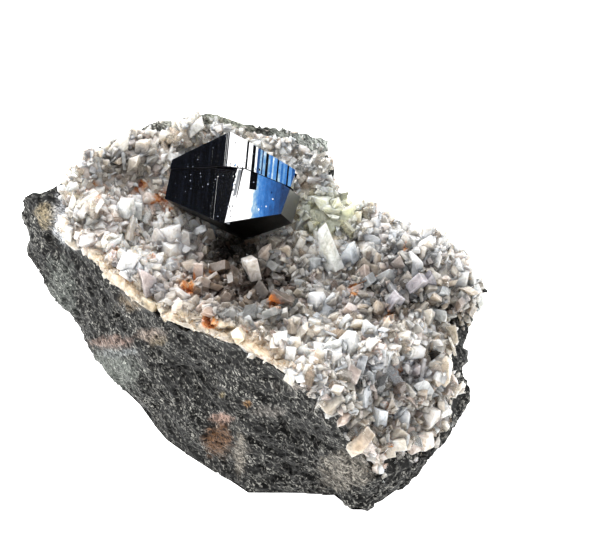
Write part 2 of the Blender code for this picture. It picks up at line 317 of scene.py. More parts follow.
def gneissMaterial():
    # fine biotite gneiss, broken: matt, with dark mica and pale quartz grains of 0.2 to 0.4 mm
    material, tree, shader = newMaterial("broken biotite gneiss")
    place = addNode(tree, "TexCoord")
    turn = block["leaf"].to_track_quat("Z", "Y").to_euler()
    along = addNode(tree, "Mapping", {
        "vector_type": "TEXTURE", "Rotation": tuple(turn), "Scale": (1, 1, block["grainFlatness"]),
    }, {"Vector": place.outputs["Object"]})
    grains = addNode(tree, "TexVoronoi", {"Scale": perMetre(block["grainSize"])}, {"Vector": along})
    speckle = addNode(tree, "TexNoise", {
        "Scale": perMetre(block["speckleSize"]), "Detail": 5.0, "Roughness": 0.75,
    }, {"Vector": along})
    grey = addNode(tree, "Mix", {"data_type": "FLOAT", 0: 0.5}, {
        2: grains.outputs["Color"], 3: speckle,
    })
    levels = addNode(tree, "ValToRGB", {
        "stops": [(position, rgba(colour)) for position, colour in block["grains"]],
    }, {"Fac": grey})
    bands = addNode(tree, "TexNoise", {
        "Scale": perMetre(block["bandSize"]), "Detail": 7.0, "Roughness": 0.72,
    }, {"Vector": along})
    bandLevel = addNode(tree, "MapRange", {
        "From Min": 0.36, "From Max": 0.66, "To Min": 0.1, "To Max": 1.0,
    }, {"Value": bands})
    shaded = addNode(tree, "Mix", multiplied, {6: levels, 7: bandLevel})
    tint = addNode(tree, "VertexColor", {"layer_name": "tint"})
    mottle = addNode(tree, "MapRange", {
        "From Min": 0.34, "From Max": 0.72, "To Min": 0.12, "To Max": 1.35,
    }, {"Value": grey})
    patched = addNode(tree, "Mix", multiplied, {6: tint, 7: mottle})
    whole = addNode(tree, "Mix", {"data_type": "RGBA"}, {
        0: tint.outputs["Alpha"], 6: shaded.outputs[2], 7: patched.outputs[2],
    })
    bump = addNode(tree, "Bump", {"Strength": 0.6, "Distance": 0.2 * mm}, {
        "Height": grains.outputs["Color"],
    })
    setNode(shader, {"Roughness": 0.68, "IOR": 1.55, "Specular IOR Level": 0.3}, {
        "Base Color": whole.outputs[2], "Normal": bump,
    })
    return material


crust = {
    "seed": 21,
    "classes": [
        # how many, smallest and largest radius, spacing against the two radii
        (800, 0.55, 0.88, 0.52),
        (2500, 0.36, 0.56, 0.46),
        (1900, 0.2, 0.36, 0.5),
    ],
    "small": 0.3,  # classes that start above this radius aren't small
    "fine": 0.38,  # crystals above this radius have worn edges
    "commonSmall": 1.6,  # how much commoner a class's smaller crystals are
    "tries": 60,  # for each crystal
    "far": 80,  # rays start this far out
    "lowest": 1.5,  # height over the floor, in a crystal's radii
    "steepest": math.radians(75),
    "spread": 0.55,  # how far crystals lean at random, and then upwards
    "upright": 0.25,
    "quartzShares": (325, 0.24, 0.34),  # a pixel row, the quartz share behind it and before it
    "cell": 1.6,  # the crystals near a point are looked up in cubes of this size
    "fringe": 1.6,  # how far small crystals stray on to bare stone
    "flattest": 0.1,  # and the least that this stone faces up
    "backLimit": 126,  # only small crystals above this pixel row, sunk by so many radii
    "backSunk": 0.6,
    "noLarge": (235, 175),  # none of the largest right of this pixel column and above this row
    "zoneEdge": (1.6, 1.3),  # a zone's strength in its middle, capped at 1, and its fall to its edge
    "paintedShadeEdge": (1.7, 1.5),
    "bandEdge": (1.8, 0.9),  # the same for the band, and the most of its colour
    "stainSpread": 1.6,  # stains fade to nothing this many reaches out
    "stainFall": 1.7,
    "stainMargin": 16,  # the most pixels from a crystal's middle to its tip
    "cleanTip": 0.3,  # how much less a crystal's tip is stained
    "cloudSize": 1 / 1.2,  # milky clouds in the feldspar, its pits and the edges of stains
    "pitSize": 1 / 3.5,
    "stainSize": 1 / 2.6,
    "palette": ["#fbf3e6", "#f4e9d9", "#e6dccd", "#f8e4ce", "#e6e9e8", "#fffaf1", "#f5dfd2"],
    "shades": (0.94, 1.12),  # how dark and how pale a whole crystal may be
    "drift": (0.26, 2.4),  # brightness drifts by this share over this many millimetres
    "paintedShadeMiddle": 0.99,  # painted shade and light by height: a crystal's brightness half way up, and what its height adds
    "paintedShadeByHeight": 0.2,
    "rust": ("#d8813a", "#934413"),
    # places by pixel, with their own colours and one painted shadow: centre, reach, colour, strength
    "zones": [
        ((326, 214), (40, 26), "#e6e9bd", 0.7), ((105, 222), (36, 30), "#ffeada", 0.8),
        ((178, 238), (30, 24), "#fff4ea", 0.7), ((128, 268), (22, 10), "#d5dbe2", 0.6),
        ((372, 372), (26, 20), "#c6ccd6", 0.5), ((415, 372), (20, 16), "#aeb2c0", 0.6),
        ((160, 288), (20, 16), "#b3a8a8", 0.6), ((400, 292), (24, 18), "#a7a2a6", 0.6),
        ((350, 300), (22, 16), "#bdb8bf", 0.4), ((300, 165), (34, 26), "#c9cbc6", 0.5),
        ((215, 122), (60, 10), "#d5d8d0", 0.5), ((130, 160), (40, 26), "#b7b2ab", 0.45),
        ((470, 300), (12, 34), "#8f9190", 0.6), ((452, 330), (16, 16), "#e3d9c8", 0.5),
        # the near-black zone at (235, 250) is painted shadow under the anatase
        ((225, 285), (56, 28), "#ecc9b4", 0.6), ((235, 250), (44, 22), "#1a1512", 0.95),
        ((400, 245), (60, 26), "#e6e8e8", 0.5),
    ],
    # painted shade by pixel, where the crust lies in shadow or turns from the light, deepest in the
    # anatase's shadow: centre, reach, share of the brightness that stays
    "paintedShade": [
        ((250, 290), (84, 50), 0.18), ((388, 285), (76, 54), 0.36), ((150, 294), (26, 18), 0.65),
        ((130, 165), (40, 26), 0.62), ((455, 320), (26, 40), 0.5), ((385, 405), (84, 62), 0.42),
    ],
    "rustSpots": [
        ((188, 286), 7, 1.0), ((210, 321), 7, 1.0), ((143, 185), 5, 0.9), ((90, 193), 5, 0.6),
        ((100, 196), 5, 0.5), ((130, 200), 12, 0.35), ((180, 262), 12, 0.3), ((250, 330), 12, 0.3),
        ((162, 197), 8, 0.55), ((167, 209), 7, 0.45), ((113, 250), 8, 0.6), ((148, 256), 8, 0.45),
        ((206, 274), 7, 0.4), ((274, 302), 9, 0.5), ((353, 290), 7, 0.6), ((406, 245), 4, 0.7),
        ((371, 278), 6, 0.4), ((389, 318), 6, 0.7), ((316, 355), 4, 0.7), ((380, 348), 8, 0.45),
        ((396, 372), 7, 0.45), ((385, 405), 6, 0.5), ((393, 446), 5, 0.5),
    ],
    "darkColour": "#1b1917",
    "darkSpots": [
        ((443, 310), 5), ((433, 353), 3), ((368, 464), 4), ((421, 298), 4), ((452, 322), 3),
    ],
    "leaderSpan": (0.52, 0.45),  # half their length and where their middle is, between foot and tip
    # crystals that stand out: form, foot and tip in pixels, width in pixels, colour, rise
    "leaders": [
        ("tablet", (96, 187), (97, 158), 13, "#e4e1da", 0.3),
        ("rhomb", (115, 154), (131, 137), 12, "#efe9df", 0.3),
        ("rhomb", (143, 152), (144, 140), 13, "#c4bbb0", 0.4),
        ("tablet", (163, 250), (156, 230), 16, "#f8efe8", 0.4),
        ("rhomb", (170, 254), (170, 226), 17, "#fbf3ec", 0.4),
        ("tablet", (179, 254), (186, 232), 18, "#f3e6da", 0.4),
        ("chunk", (172, 256), (174, 240), 24, "#f6e9dc", 0.6),
        ("prism", (187, 233), (184, 216), 10, "#f4f1ee", 0.4),
        ("rhomb", (194, 233), (206, 228), 8, "#ffffff", 0.3),
        ("chunk", (126, 214), (124, 199), 15, "#eef0ea", 0.5),
        ("rhomb", (136, 216), (137, 201), 14, "#e6eae4", 0.5),
        ("rhomb", (83, 222), (79, 210), 13, "#f3e0d0", 0.5),
        ("rhomb", (253, 276), (249, 258), 16, "#eaddd2", 0.7),
        ("rhomb", (265, 265), (262, 249), 14, "#b8a99d", 0.6),
        ("rhomb", (198, 282), (199, 262), 14, "#c7b6ae", 0.5),
        ("prism", (238, 317), (268, 322), 10, "#f4f4f0", 0.15),
        ("rhomb", (150, 292), (146, 270), 15, "#b5abaa", 0.5),
        ("rhomb", (335, 268), (320, 232), 13, "#f0f0e6", 0.2),
        ("rhomb", (326, 231), (356, 211), 12, "#e6e7c2", 0.25),
        ("tablet", (300, 232), (306, 212), 13, "#e9ead8", 0.3),
        ("rhomb", (416, 274), (416, 254), 13, "#f1f1ee", 0.5),
        ("rhomb", (412, 288), (424, 277), 16, "#a39fa4", 0.5),
        ("rhomb", (426, 286), (434, 275), 13, "#8f8b92", 0.4),
        ("rhomb", (390, 308), (400, 294), 14, "#a9a5aa", 0.4),
        ("prism", (396, 381), (375, 353), 14, "#eef1f6", 0.2),
        ("chunk", (150, 307), (153, 300), 17, "#dcc8ac", 0.3),
        ("chunk", (163, 311), (168, 305), 13, "#e0ceb4", 0.3),
        ("chunk", (236, 338), (243, 333), 15, "#e2d0b6", 0.3),
        ("chunk", (412, 448), (413, 436), 17, "#f2dcd0", 0.6),
        ("chunk", (424, 444), (426, 432), 18, "#f0e0d2", 0.6),
        ("chunk", (400, 446), (398, 436), 16, "#e6d8c4", 0.6),
        ("rhomb", (388, 455), (386, 443), 12, "#e0d2bf", 0.6),
        ("chunk", (428, 420), (430, 406), 17, "#efe3d9", 0.6),
        ("chunk", (441, 412), (443, 400), 16, "#f1ece6", 0.6),
        ("rhomb", (402, 424), (404, 406), 15, "#e4e6e6", 0.5),
        ("rhomb", (378, 424), (380, 408), 14, "#d5d9dc", 0.5),
        ("rhomb", (362, 404), (360, 388), 15, "#dfe3e4", 0.5),
        ("rhomb", (346, 388), (342, 372), 14, "#e9ebe9", 0.5),
        ("rhomb", (330, 366), (334, 350), 15, "#f3ede6", 0.5),
        ("rhomb", (350, 350), (356, 336), 14, "#eef0ee", 0.5),
        ("tablet", (372, 340), (366, 322), 15, "#e6eaec", 0.5),
        ("chunk", (460, 284), (462, 270), 15, "#e6e4dc", 0.5),
        ("rhomb", (472, 282), (472, 266), 13, "#eceae4", 0.5),
        ("rhomb", (477, 308), (481, 292), 11, "#dfe2de", 0.4),
        ("chunk", (318, 306), (318, 292), 16, "#ffffff", 0.5),
        ("tablet", (330, 308), (333, 294), 12, "#f4f4f0", 0.4),
        ("rhomb", (350, 262), (346, 246), 13, "#cdd4da", 0.5),
        ("rhomb", (287, 360), (290, 346), 12, "#f7f2ea", 0.5),
    ],
    # the massive cream band along the front rim, as pixels
    "band": [(92, 259), (128, 288), (163, 314), (217, 327), (265, 348), (284, 360)],
    "bandReach": 13,
    "bareRim": 32,  # the stone bears no crystals this close to the band
    "massive": 0.2,  # only small, sunk crystals this far inside the band
    "sunk": 0.12,  # how far a crystal's middle lies in the bed, in its radii
    "massiveSunk": 0.5,
    "bandRelief": (0.3, 1.1),
    "cellSize": 1.6,  # the bed has one colour over this length
    "bedEdges": (1.0, 0.35),  # longest edge of the bed, and of the band in it
    "bandColour": "#c6b195",
    "gapColour": ("#a07a5e", 0.2),  # brown mixed into the bed between the crystals, and how much of it
}


def bandDistance(x, y):
    # pixels from the middle of the band
    nearest = math.inf
    for (ax, ay), (bx, by) in zip(crust["band"], crust["band"][1:]):
        along = ((x - ax) * (bx - ax) + (y - ay) * (by - ay)) / ((bx - ax) ** 2 + (by - ay) ** 2)
        along = min(1, max(0, along))
        nearest = min(nearest, math.hypot(x - ax - along * (bx - ax), y - ay - along * (by - ay)))
    return nearest


def bandShare(x, y):
    return max(0, 1 - bandDistance(x, y) / crust["bandReach"])


def stainShare(point):
    # how strongly iron stains a point, around the spots
    pixel = toPixel(point)
    most = 0
    for centre, reach, strength in crust["rustSpots"]:
        near = 1 - math.dist(pixel, centre) / (reach * crust["stainSpread"])
        most = max(most, strength * min(1, crust["stainFall"] * near))
    return most


def nearStain(point):
    pixel = toPixel(point)
    spread, margin = crust["stainSpread"], crust["stainMargin"]
    return any(math.dist(pixel, centre) < reach * spread + margin for centre, reach, _ in crust["rustSpots"])


def crustColour(point, draw):
    pixel = toPixel(point)
    colour = linear(draw.choice(crust["palette"]))
    amount, width = crust["drift"]
    shade = draw.uniform(*crust["shades"]) + amount * noise.noise(point / width)
    middle, fall = crust["zoneEdge"]
    for centre, reach, tint, strength in crust["zones"]:
        share = clamped(middle - fall * ovalReach(pixel, centre, reach))
        colour = mixed(colour, linear(tint), strength * share)
    # painted shade: the crust's colour is darkened where shadows fall on it
    middle, fall = crust["paintedShadeEdge"]
    for centre, reach, left in crust["paintedShade"]:
        share = clamped(middle - fall * ovalReach(pixel, centre, reach))
        colour = mixed((0, 0, 0), colour, 1 - (1 - left) * share)
    middle, most = crust["bandEdge"]
    share = min(1, middle * bandShare(*pixel))
    colour = mixed(colour, linear(crust["bandColour"]), most * share)
    shade += (1 - shade) * share
    ragged = 0.7 + 0.6 * draw.random()
    for centre, reach in crust["darkSpots"]:
        if math.dist(pixel, centre) < reach * ragged:
            colour = linear(crust["darkColour"])
            shade = 1
    return tuple(min(1, part * shade) for part in colour)


def chamfered(solid, width):
    bmesh.ops.bevel(
        solid, geom=solid.edges[:], offset=width, segments=1, profile=0.5, affect="EDGES", material=-1
    )


def cutOff(solid, point, normal):
    geometry = solid.verts[:] + solid.edges[:] + solid.faces[:]
    cut = bmesh.ops.bisect_plane(
        solid, geom=geometry, plane_co=point, plane_no=normal, clear_outer=True
    )["geom_cut"]
    edges = [item for item in cut if isinstance(item, bmesh.types.BMEdge)]
    if edges:
        bmesh.ops.contextual_create(solid, geom=edges)


def rhombForm(draw):
    # adularia: a rhombic prism with a slanting end
    solid = bmesh.new()
    bmesh.ops.create_cube(solid, size=2)
    lean = draw.uniform(0.15, 0.4)
    slant = draw.uniform(0.35, 0.8)
    deep = draw.uniform(0.6, 1.0)
    for vert in solid.verts:
        vert.co.x += vert.co.y * lean
        vert.co.y *= deep
        if vert.co.z > 0:
            vert.co.z += vert.co.x * slant * 0.5
    if draw.random() < 0.6:
        cutOff(solid, (0, 0, 0.9), (-0.7, draw.uniform(-0.4, 0.4), 1))
    return solid


def tabletForm(draw):
    # albite: a flat tablet with bevelled ends
    solid = bmesh.new()
    bmesh.ops.create_cube(solid, size=2)
    bmesh.ops.scale(solid, verts=solid.verts, vec=(1, draw.uniform(0.28, 0.5), 1.15))
    cutOff(solid, (0.55, 0, 0.75), (1, 0, draw.uniform(0.5, 1.2)))
    cutOff(solid, (-0.55, 0, 0.75), (-1, 0, draw.uniform(0.3, 1.0)))
    return solid


def chunkForm(draw):
    # a crystal with odd faces, crowded by its neighbours
    solid = bmesh.new()
    bmesh.ops.create_cube(solid, size=2)
    for _ in range(4):
        normal = Vector((draw.gauss(0, 1), draw.gauss(0, 1), abs(draw.gauss(0.4, 0.7)))).normalized()
        cutOff(solid, normal * draw.uniform(0.72, 1.0), normal)
    return solid


def prismForm(draw):
    # quartz: six sides and a point with uneven faces
    solid = bmesh.new()
    bmesh.ops.create_cone(solid, cap_ends=True, segments=6, radius1=0.9, radius2=0.85, depth=2.6)
    turn = draw.uniform(0, math.pi / 3)
    for step in range(6):
        angle = math.pi / 6 + step * math.pi / 3
        side = Vector((math.cos(angle), math.sin(angle), 0))
        normal = (side + Vector((0, 0, 0.78))).normalized()
        cutOff(solid, Vector((0, 0, 1.3 + draw.uniform(-0.35, 0.0))), normal)
    bmesh.ops.rotate(solid, verts=solid.verts, matrix=Matrix.Rotation(turn, 3, "Z"))
    return solid


# each form's function, how many templates it has, their seed and how wide their worn edges are
forms = {
    "rhomb": (rhombForm, 6, 31, 0.07),
    "tablet": (tabletForm, 5, 32, 0.05),
    "chunk": (chunkForm, 6, 33, 0.07),
    "prism": (prismForm, 5, 34, 0),
}


def makeTemplates(form, count, seed, width):
    draw = random.Random(seed)
    made = []
    for _ in range(count):
        solid = form(draw)
        bmesh.ops.recalc_face_normals(solid, faces=solid.faces)
        if width:
            chamfered(solid, width)
        made.append(toMesh(solid, "template"))
    return made


def crystalPlaces(trees):
    # (point, normal, radius) for each crystal, from rays that meet the crust before anything else
    draw = random.Random(crust["seed"])
    low, high = (Vector(corner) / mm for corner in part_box("crystal_crust"))
    cells = {}
    places = []
    bedTree = trees[0]
    for count, smallest, largest, spacing in crust["classes"]:
        placed = 0
        isSmall = smallest < crust["small"]
        isLarge = smallest == crust["classes"][0][1]
        for _ in range(count * crust["tries"]):
            if placed == count:
                break
            aim = Vector([draw.uniform(a, b) for a, b in zip(low, high)])
            steep = math.acos(draw.uniform(math.cos(crust["steepest"]), 1))
            turn = draw.uniform(0, 2 * math.pi)
            radius = smallest + (largest - smallest) * draw.random() ** crust["commonSmall"]
            away = Vector((
                math.sin(steep) * math.cos(turn), math.sin(steep) * math.sin(turn), math.cos(steep)
            ))
            hits = [tree.ray_cast(aim + away * crust["far"], -away) for tree in trees]
            first = min((hit for hit in hits if hit[0]), key=lambda hit: hit[3], default=None)
            if first is None or first is hits[2]:
                continue
            point, normal = first[:2]
            x, y = toPixel(point)
            if point.z < radius * crust["lowest"]:
                continue
            if bandShare(x, y) > crust["massive"] and not isSmall:
                continue
            if y < crust["backLimit"]:
                if not isSmall:
                    continue
                point = point - normal * radius * crust["backSunk"]
            elif isLarge and x > crust["noLarge"][0] and y < crust["noLarge"][1]:
                continue
            if first is hits[1]:  # bare stone takes only small crystals next to the crust
                edge = bedTree.find_nearest(point)[3]
                if not isSmall or edge > crust["fringe"] * draw.random() or normal.z < crust["flattest"]:
                    continue
                if bandDistance(x, y) < crust["bareRim"]:
                    continue
            cell = tuple(int(part // crust["cell"]) for part in point)
            near = [
                other for dx in (-1, 0, 1) for dy in (-1, 0, 1) for dz in (-1, 0, 1)
                for other in cells.get((cell[0] + dx, cell[1] + dy, cell[2] + dz), ())
            ]
            if any((point - spot).length < spacing * (radius + size) for spot, size in near):
                continue
            cells.setdefault(cell, []).append((point, radius))
            places.append((point, normal, radius))
            placed += 1
        print(placed, "crystals of", smallest, "to", largest, "mm")
    return places


def addCrystal(solid, template, place, colour):
    # a template set in its place, with painted shade at its foot and painted light at its tip
    mesh = template.copy()
    heights = [vert.co.z for vert in mesh.vertices]
    mesh.transform(place)
    stained = nearStain(place.translation)
    tints = []
    for vert, height in zip(mesh.vertices, heights):
        # painted shade and light: darker towards the foot, lighter towards the tip
        shade = crust["paintedShadeMiddle"] + crust["paintedShadeByHeight"] * max(-1, min(1, height))
        stain = stainShare(vert.co) * (1 - crust["cleanTip"] * height) if stained else 0
        tints.append((*[part * shade for part in colour], stain))
    paint(mesh, tints)
    solid.from_mesh(mesh)
    bpy.data.meshes.remove(mesh)


def makeCrust(trees, milky):
    draw = random.Random(crust["seed"] + 1)
    fine = {name: makeTemplates(*form) for name, form in forms.items()}
    plain = {name: makeTemplates(*form[:-1], 0) for name, form in forms.items()}
    feldspar = bmesh.new()
    quartz = bmesh.new()
    for form, foot, tip, width, colour, rise in crust["leaders"]:
        start, sight = pixelRay(*foot)
        hits = [tree.ray_cast(start, sight) for tree in trees[:2]]
        base = min((hit for hit in hits if hit[0]), key=lambda hit: hit[3])[0]
        axis = (Vector((1, 0, 0)) * (tip[0] - foot[0]) - viewUp * (tip[1] - foot[1])) * view["pixel"]
        axis += viewBack * axis.length * rise
        turn = axis.to_track_quat("Z", "Y").to_matrix().to_4x4()
        spin = Matrix.Rotation(draw.uniform(0, math.pi), 4, "Z")
        half = width * view["pixel"] / 2
        halfLength, middle = crust["leaderSpan"]
        size = Matrix.Diagonal((half, half, axis.length * halfLength, 1))
        place = Matrix.Translation(base + axis * middle) @ turn @ spin @ size
        addCrystal(quartz if form == "prism" else feldspar, draw.choice(fine[form]), place, linear(colour))
    for point, normal, radius in crystalPlaces(trees):
        row, behind, before = crust["quartzShares"]
        isQuartz = draw.random() < (before if toPixel(point)[1] > row else behind)
        kind = "prism" if isQuartz else draw.choice(["rhomb", "rhomb", "rhomb", "tablet", "tablet", "chunk"])
        template = draw.choice((fine if radius > crust["fine"] else plain)[kind])
        aim = normal + Vector([draw.gauss(0, crust["spread"]) for _ in range(3)])
        aim.z += crust["upright"]
        turn = aim.to_track_quat("Z", "Y").to_matrix().to_4x4()
        spin = Matrix.Rotation(draw.uniform(0, 2 * math.pi), 4, "Z")
        tall = draw.uniform(0.85, 1.7)
        flat = draw.uniform(0.55, 1)
        size = Matrix.Diagonal((radius, radius * flat, radius * tall, 1))
        sunk = crust["massiveSunk"] if bandShare(*toPixel(point)) > crust["massive"] else crust["sunk"]
        point = point - normal * radius * sunk
        place = Matrix.Translation(point) @ turn @ spin @ size
        addCrystal(quartz if isQuartz else feldspar, template, place, crustColour(point, draw))
    for name, solid, material in (
        ("feldspar_crystals", feldspar, milky), ("quartz_crystals", quartz, quartzMaterial()),
    ):
        finishPiece(name, toMesh(solid, name), [material])


def makeBed(milky):
    solid = mergedCopy("crystal_crust")
    plain, fine = crust["bedEdges"]

    def isLong(edge):
        length = edge.calc_length()
        return length > plain or length > fine and bandShare(*toPixel(edge.verts[0].co)) > 0

    refine(solid, isLong)
    height, width = crust["bandRelief"]
    for vert in solid.verts:
        share = bandShare(*toPixel(vert.co))
        if share > 0 and vert.co.z > height:
            lift = noise.noise(vert.co / width) + 0.5 * noise.noise(vert.co / width * 3) + 0.5
            vert.co += vert.normal * lift * height * min(1, 2 * share)
    mesh = toMesh(solid, "crust_bed")
    gapBrown, most = crust["gapColour"]
    tints = []
    for vert in mesh.vertices:
        cell = noise.voronoi(vert.co / crust["cellSize"])[1][0]
        draw = random.Random(int(1e4 * abs(noise.noise(cell))))
        share = most * (1 - min(1, 2 * bandShare(*toPixel(vert.co))))
        tints.append((*mixed(crustColour(vert.co, draw), linear(gapBrown), share), stainShare(vert.co)))
    paint(mesh, tints)
    finishPiece("crust_bed", mesh, [milky], ["crystal_crust"])


def feldsparMaterial():
    # adularia and albite: milky, glassy lustre on cleavage faces, light sinks a little way in
    material, tree, shader = newMaterial("milky feldspar")
    place = addNode(tree, "TexCoord").outputs["Object"]
    tint = addNode(tree, "VertexColor", {"layer_name": "tint"})
    cloud = addNode(tree, "TexNoise", {
        "Scale": perMetre(crust["cloudSize"]), "Detail": 6.0, "Roughness": 0.65, "Distortion": 0.6,
    }, {"Vector": place})
    lift = addNode(tree, "MapRange", {
        "From Min": 0.34, "From Max": 0.66, "To Min": 0.55, "To Max": 1.25,
    }, {"Value": cloud})
    colour = addNode(tree, "Mix", multiplied, {6: tint, 7: lift})
    gloss = addNode(tree, "MapRange", {
        "From Min": 0.35, "From Max": 0.65, "To Min": 0.05, "To Max": 0.24,
    }, {"Value": cloud})
    uneven = addNode(tree, "TexNoise", {"Scale": perMetre(crust["pitSize"]), "Detail": 3.0}, {
        "Vector": place,
    })
    bump = addNode(tree, "Bump", {"Strength": 0.7, "Distance": 0.06 * mm}, {"Height": uneven})
    setNode(shader, {
        "IOR": 1.53, "Transmission Weight": 0.5, "Subsurface Weight": 0.9,
        "Subsurface Radius": (1.0, 0.92, 0.8), "Subsurface Scale": 2.2 * mm,
    }, {
        "Base Color": addStain(tree, place, tint, colour.outputs[2]),
        "Roughness": gloss, "Normal": bump,
    })
    return material


def addStain(tree, place, tint, colour):
    # brown iron hydroxide in ragged patches, where the attribute's fourth channel allows it
    ragged = addNode(tree, "TexNoise", {
        "Scale": perMetre(crust["stainSize"]), "Detail": 5.0, "Roughness": 0.7,
    }, {"Vector": place})
    amount = addNode(tree, "Math", {"operation": "MULTIPLY_ADD", 1: 1.2}, {
        0: tint.outputs["Alpha"], 2: ragged,
    })
    mask = addNode(tree, "MapRange", {"From Min": 0.86, "From Max": 1.2, "To Max": 0.92}, {
        "Value": amount,
    })
    depth = addNode(tree, "MapRange", {"From Min": 1.0, "From Max": 1.6}, {"Value": amount})
    light, dark = (rgba(value) for value in crust["rust"])
    rust = addNode(tree, "Mix", {"data_type": "RGBA", 6: light, 7: dark}, {0: depth})
    stained = addNode(tree, "Mix", {"data_type": "RGBA"}, {0: mask, 6: colour, 7: rust.outputs[2]})
    return stained.outputs[2]


def quartzMaterial():
    # rock crystal and milky quartz: clear, bright vitreous faces
    material, tree, shader = newMaterial("clear quartz")
    place = addNode(tree, "TexCoord").outputs["Object"]
    tint = addNode(tree, "VertexColor", {"layer_name": "tint"})
    setNode(shader, {"Roughness": 0.06, "IOR": 1.544, "Transmission Weight": 0.85}, {
        "Base Color": addStain(tree, place, tint, tint.outputs["Color"]),
    })
    return material


anatase = {
    "centre": Vector((-1.957, 9.674, 20.5)),
    "long": Vector((0.971, -0.192, 0.139)),
    "back": Vector((0.22, 0.508, -0.833)),
    "halfWidth": 4.83,
    "pyramid": math.radians(68.3),
    "steep": math.radians(73.0),
    "leftEnd": 7.2,
    "leftTilt": math.radians(8.0),
    "rightEnd": 6.394,
    "rightTilt": math.radians(13.3),
    # the end face's upper corner is missing along this line of pixels
    "corner": ((288.5, 188.0), (303.0, 198.5)),
    "upperEnd": 6.22,
    "upperLean": math.radians(15.0),
    "stepHeight": 1.5,
    "stepShift": 0.9,
    "overlap": 0.1,
    # growth bands as (where each ends along the crystal, its slope)
    "upperBands": [
        (-3.6, 0.40), (-3.585, -0.1), (-1.9, 0.40), (-1.88, -0.105), (-1.2, 0.42), (-1.17, -0.105),
        (-0.48, 0.45), (-0.30, 0.35), (-0.285, -0.40), (-0.12, 0.38), (-0.1, -0.40), (0.07, 0.3),
        (1.90, -0.398), (2.10, -0.70), (2.51, -0.398), (2.82, -0.66), (3.03, -0.425), (3.3, -0.50),
        (3.5, -0.44), (3.64, -0.52), (3.9, -0.437), (4.16, -0.56), (4.35, -0.441), (4.6, -0.455),
        (4.75, -0.428), (5.07, -0.443), (5.23, -0.75), (5.49, -0.437), (5.7, -0.46), (5.9, -0.436),
        (6.11, -0.45), (6.27, -0.75), (6.6, -0.438), (9.0, -0.48),
    ],
    "lowerBands": [
        (-3.4, 0.40), (-3.38, -0.105), (-2.2, 0.41), (-2.18, -0.1), (-1.45, 0.41), (-1.41, -0.105),
        (-1.1, 0.42), (-1.09, -0.30), (0.0, 0.44), (2.75, -0.398), (2.85, -0.425), (3.0, -0.434),
        (3.2, -0.439), (3.4, -0.444), (3.7, -0.45), (4.1, -0.457), (4.6, -0.466), (5.1, -0.475),
        (5.6, -0.488), (9.0, -0.505),
    ],
    # a flat cut on the lower block's ridge, as a point and an outward direction
    "ridgeFacet": (Vector((1.0, 1.4, 4.43)), Vector((-0.05, 0.058, 1))),
    # laths grown on the bright face: size, tilt, slant, place, and whether they are frosted
    "laths": [
        ((0.8, 2.3, 0.34), math.radians(32), 0, (2.75, 0.38, 3.665), False),
        ((0.1, 6.2, 0.2), math.radians(42), math.radians(7.5), (1.2, -1.75, 4.30), False),
        ((0.32, 6.1, 0.1), math.radians(24), math.radians(7.5), (0.98, -1.8, 4.42), True),
        ((0.5, 0.9, 0.5), math.radians(40), math.radians(25), (6.5, 1.35, 1.2), False),
    ],
    # the strip's lower edge drops past this place, by this angle
    "stripStart": 2.0,
    "stripDrop": math.radians(16.5),
    "stripLap": 0.02,
    # small growth plates on the bright face: how many, sizes, most tilt, and where
    "plates": {
        "seed": 4, "sizes": (0.06, 0.26), "thickness": 0.05, "tilt": 0.5, "slant": 0.3, "above": 12,
        "narrow": 0.6,
        "spots": [
            ((0.1, 1.8), (1.3, 5.0), 14), ((0.0, 3.4), (1.35, 1.58), 34), ((0.6, 1.0), (-4.2, 1.0), 24),
            ((-4.5, -0.4), (-4.0, 3.0), 16), ((3.2, 6.0), (-3.0, 1.0), 10),
        ],
    },
    "colour": "#020306",
    "striaColour": "#11141d",
    "shadedUndersideColour": "#020203",
    "endColour": "#222426",
    "glintAndDustColour": "#7d828f",
    "facing": (0.6, 0.98),  # how squarely dull faces look down, and frosted ones along the crystal
    "wave": (0.012, 1.3),  # height and width of the faces' gentle waves
    "lineSize": 1 / 5.2,
    "glintAndDustSpacing": 1 / 3.6,
    "pitSize": 1 / 2.2,
}


def crystalMatrix():
    # from the crystal's own axes (along it, up across it, towards the viewer) to the part's
    right = anatase["long"].normalized()
    back = anatase["back"]
    back = (back - right * back.dot(right)).normalized()
    up = right.cross(back)
    turn = Matrix((right, up, -back)).transposed()
    return Matrix.Translation(anatase["centre"]) @ turn.to_4x4()


def cutBy(faces):
    blank = 60
    solid = bmesh.new()
    bmesh.ops.create_cube(solid, size=blank)
    for normal, distance in faces:
        cutOff(solid, normal * distance, normal)
    return solid


def widthAt(x, points):
    # the half width at a place along the crystal, from a list of (place, half width)
    for (x0, w0), (x1, w1) in zip(points, points[1:]):
        if x <= x1:
            return w0 + (w1 - w0) * (x - x0) / (x1 - x0)
    return points[-1][1]


def bandProfile(bands, start, width):
    points = [(start, width)]
    for end, slope in bands:
        width += slope * (end - points[-1][0])
        points.append((end, width))
    return points


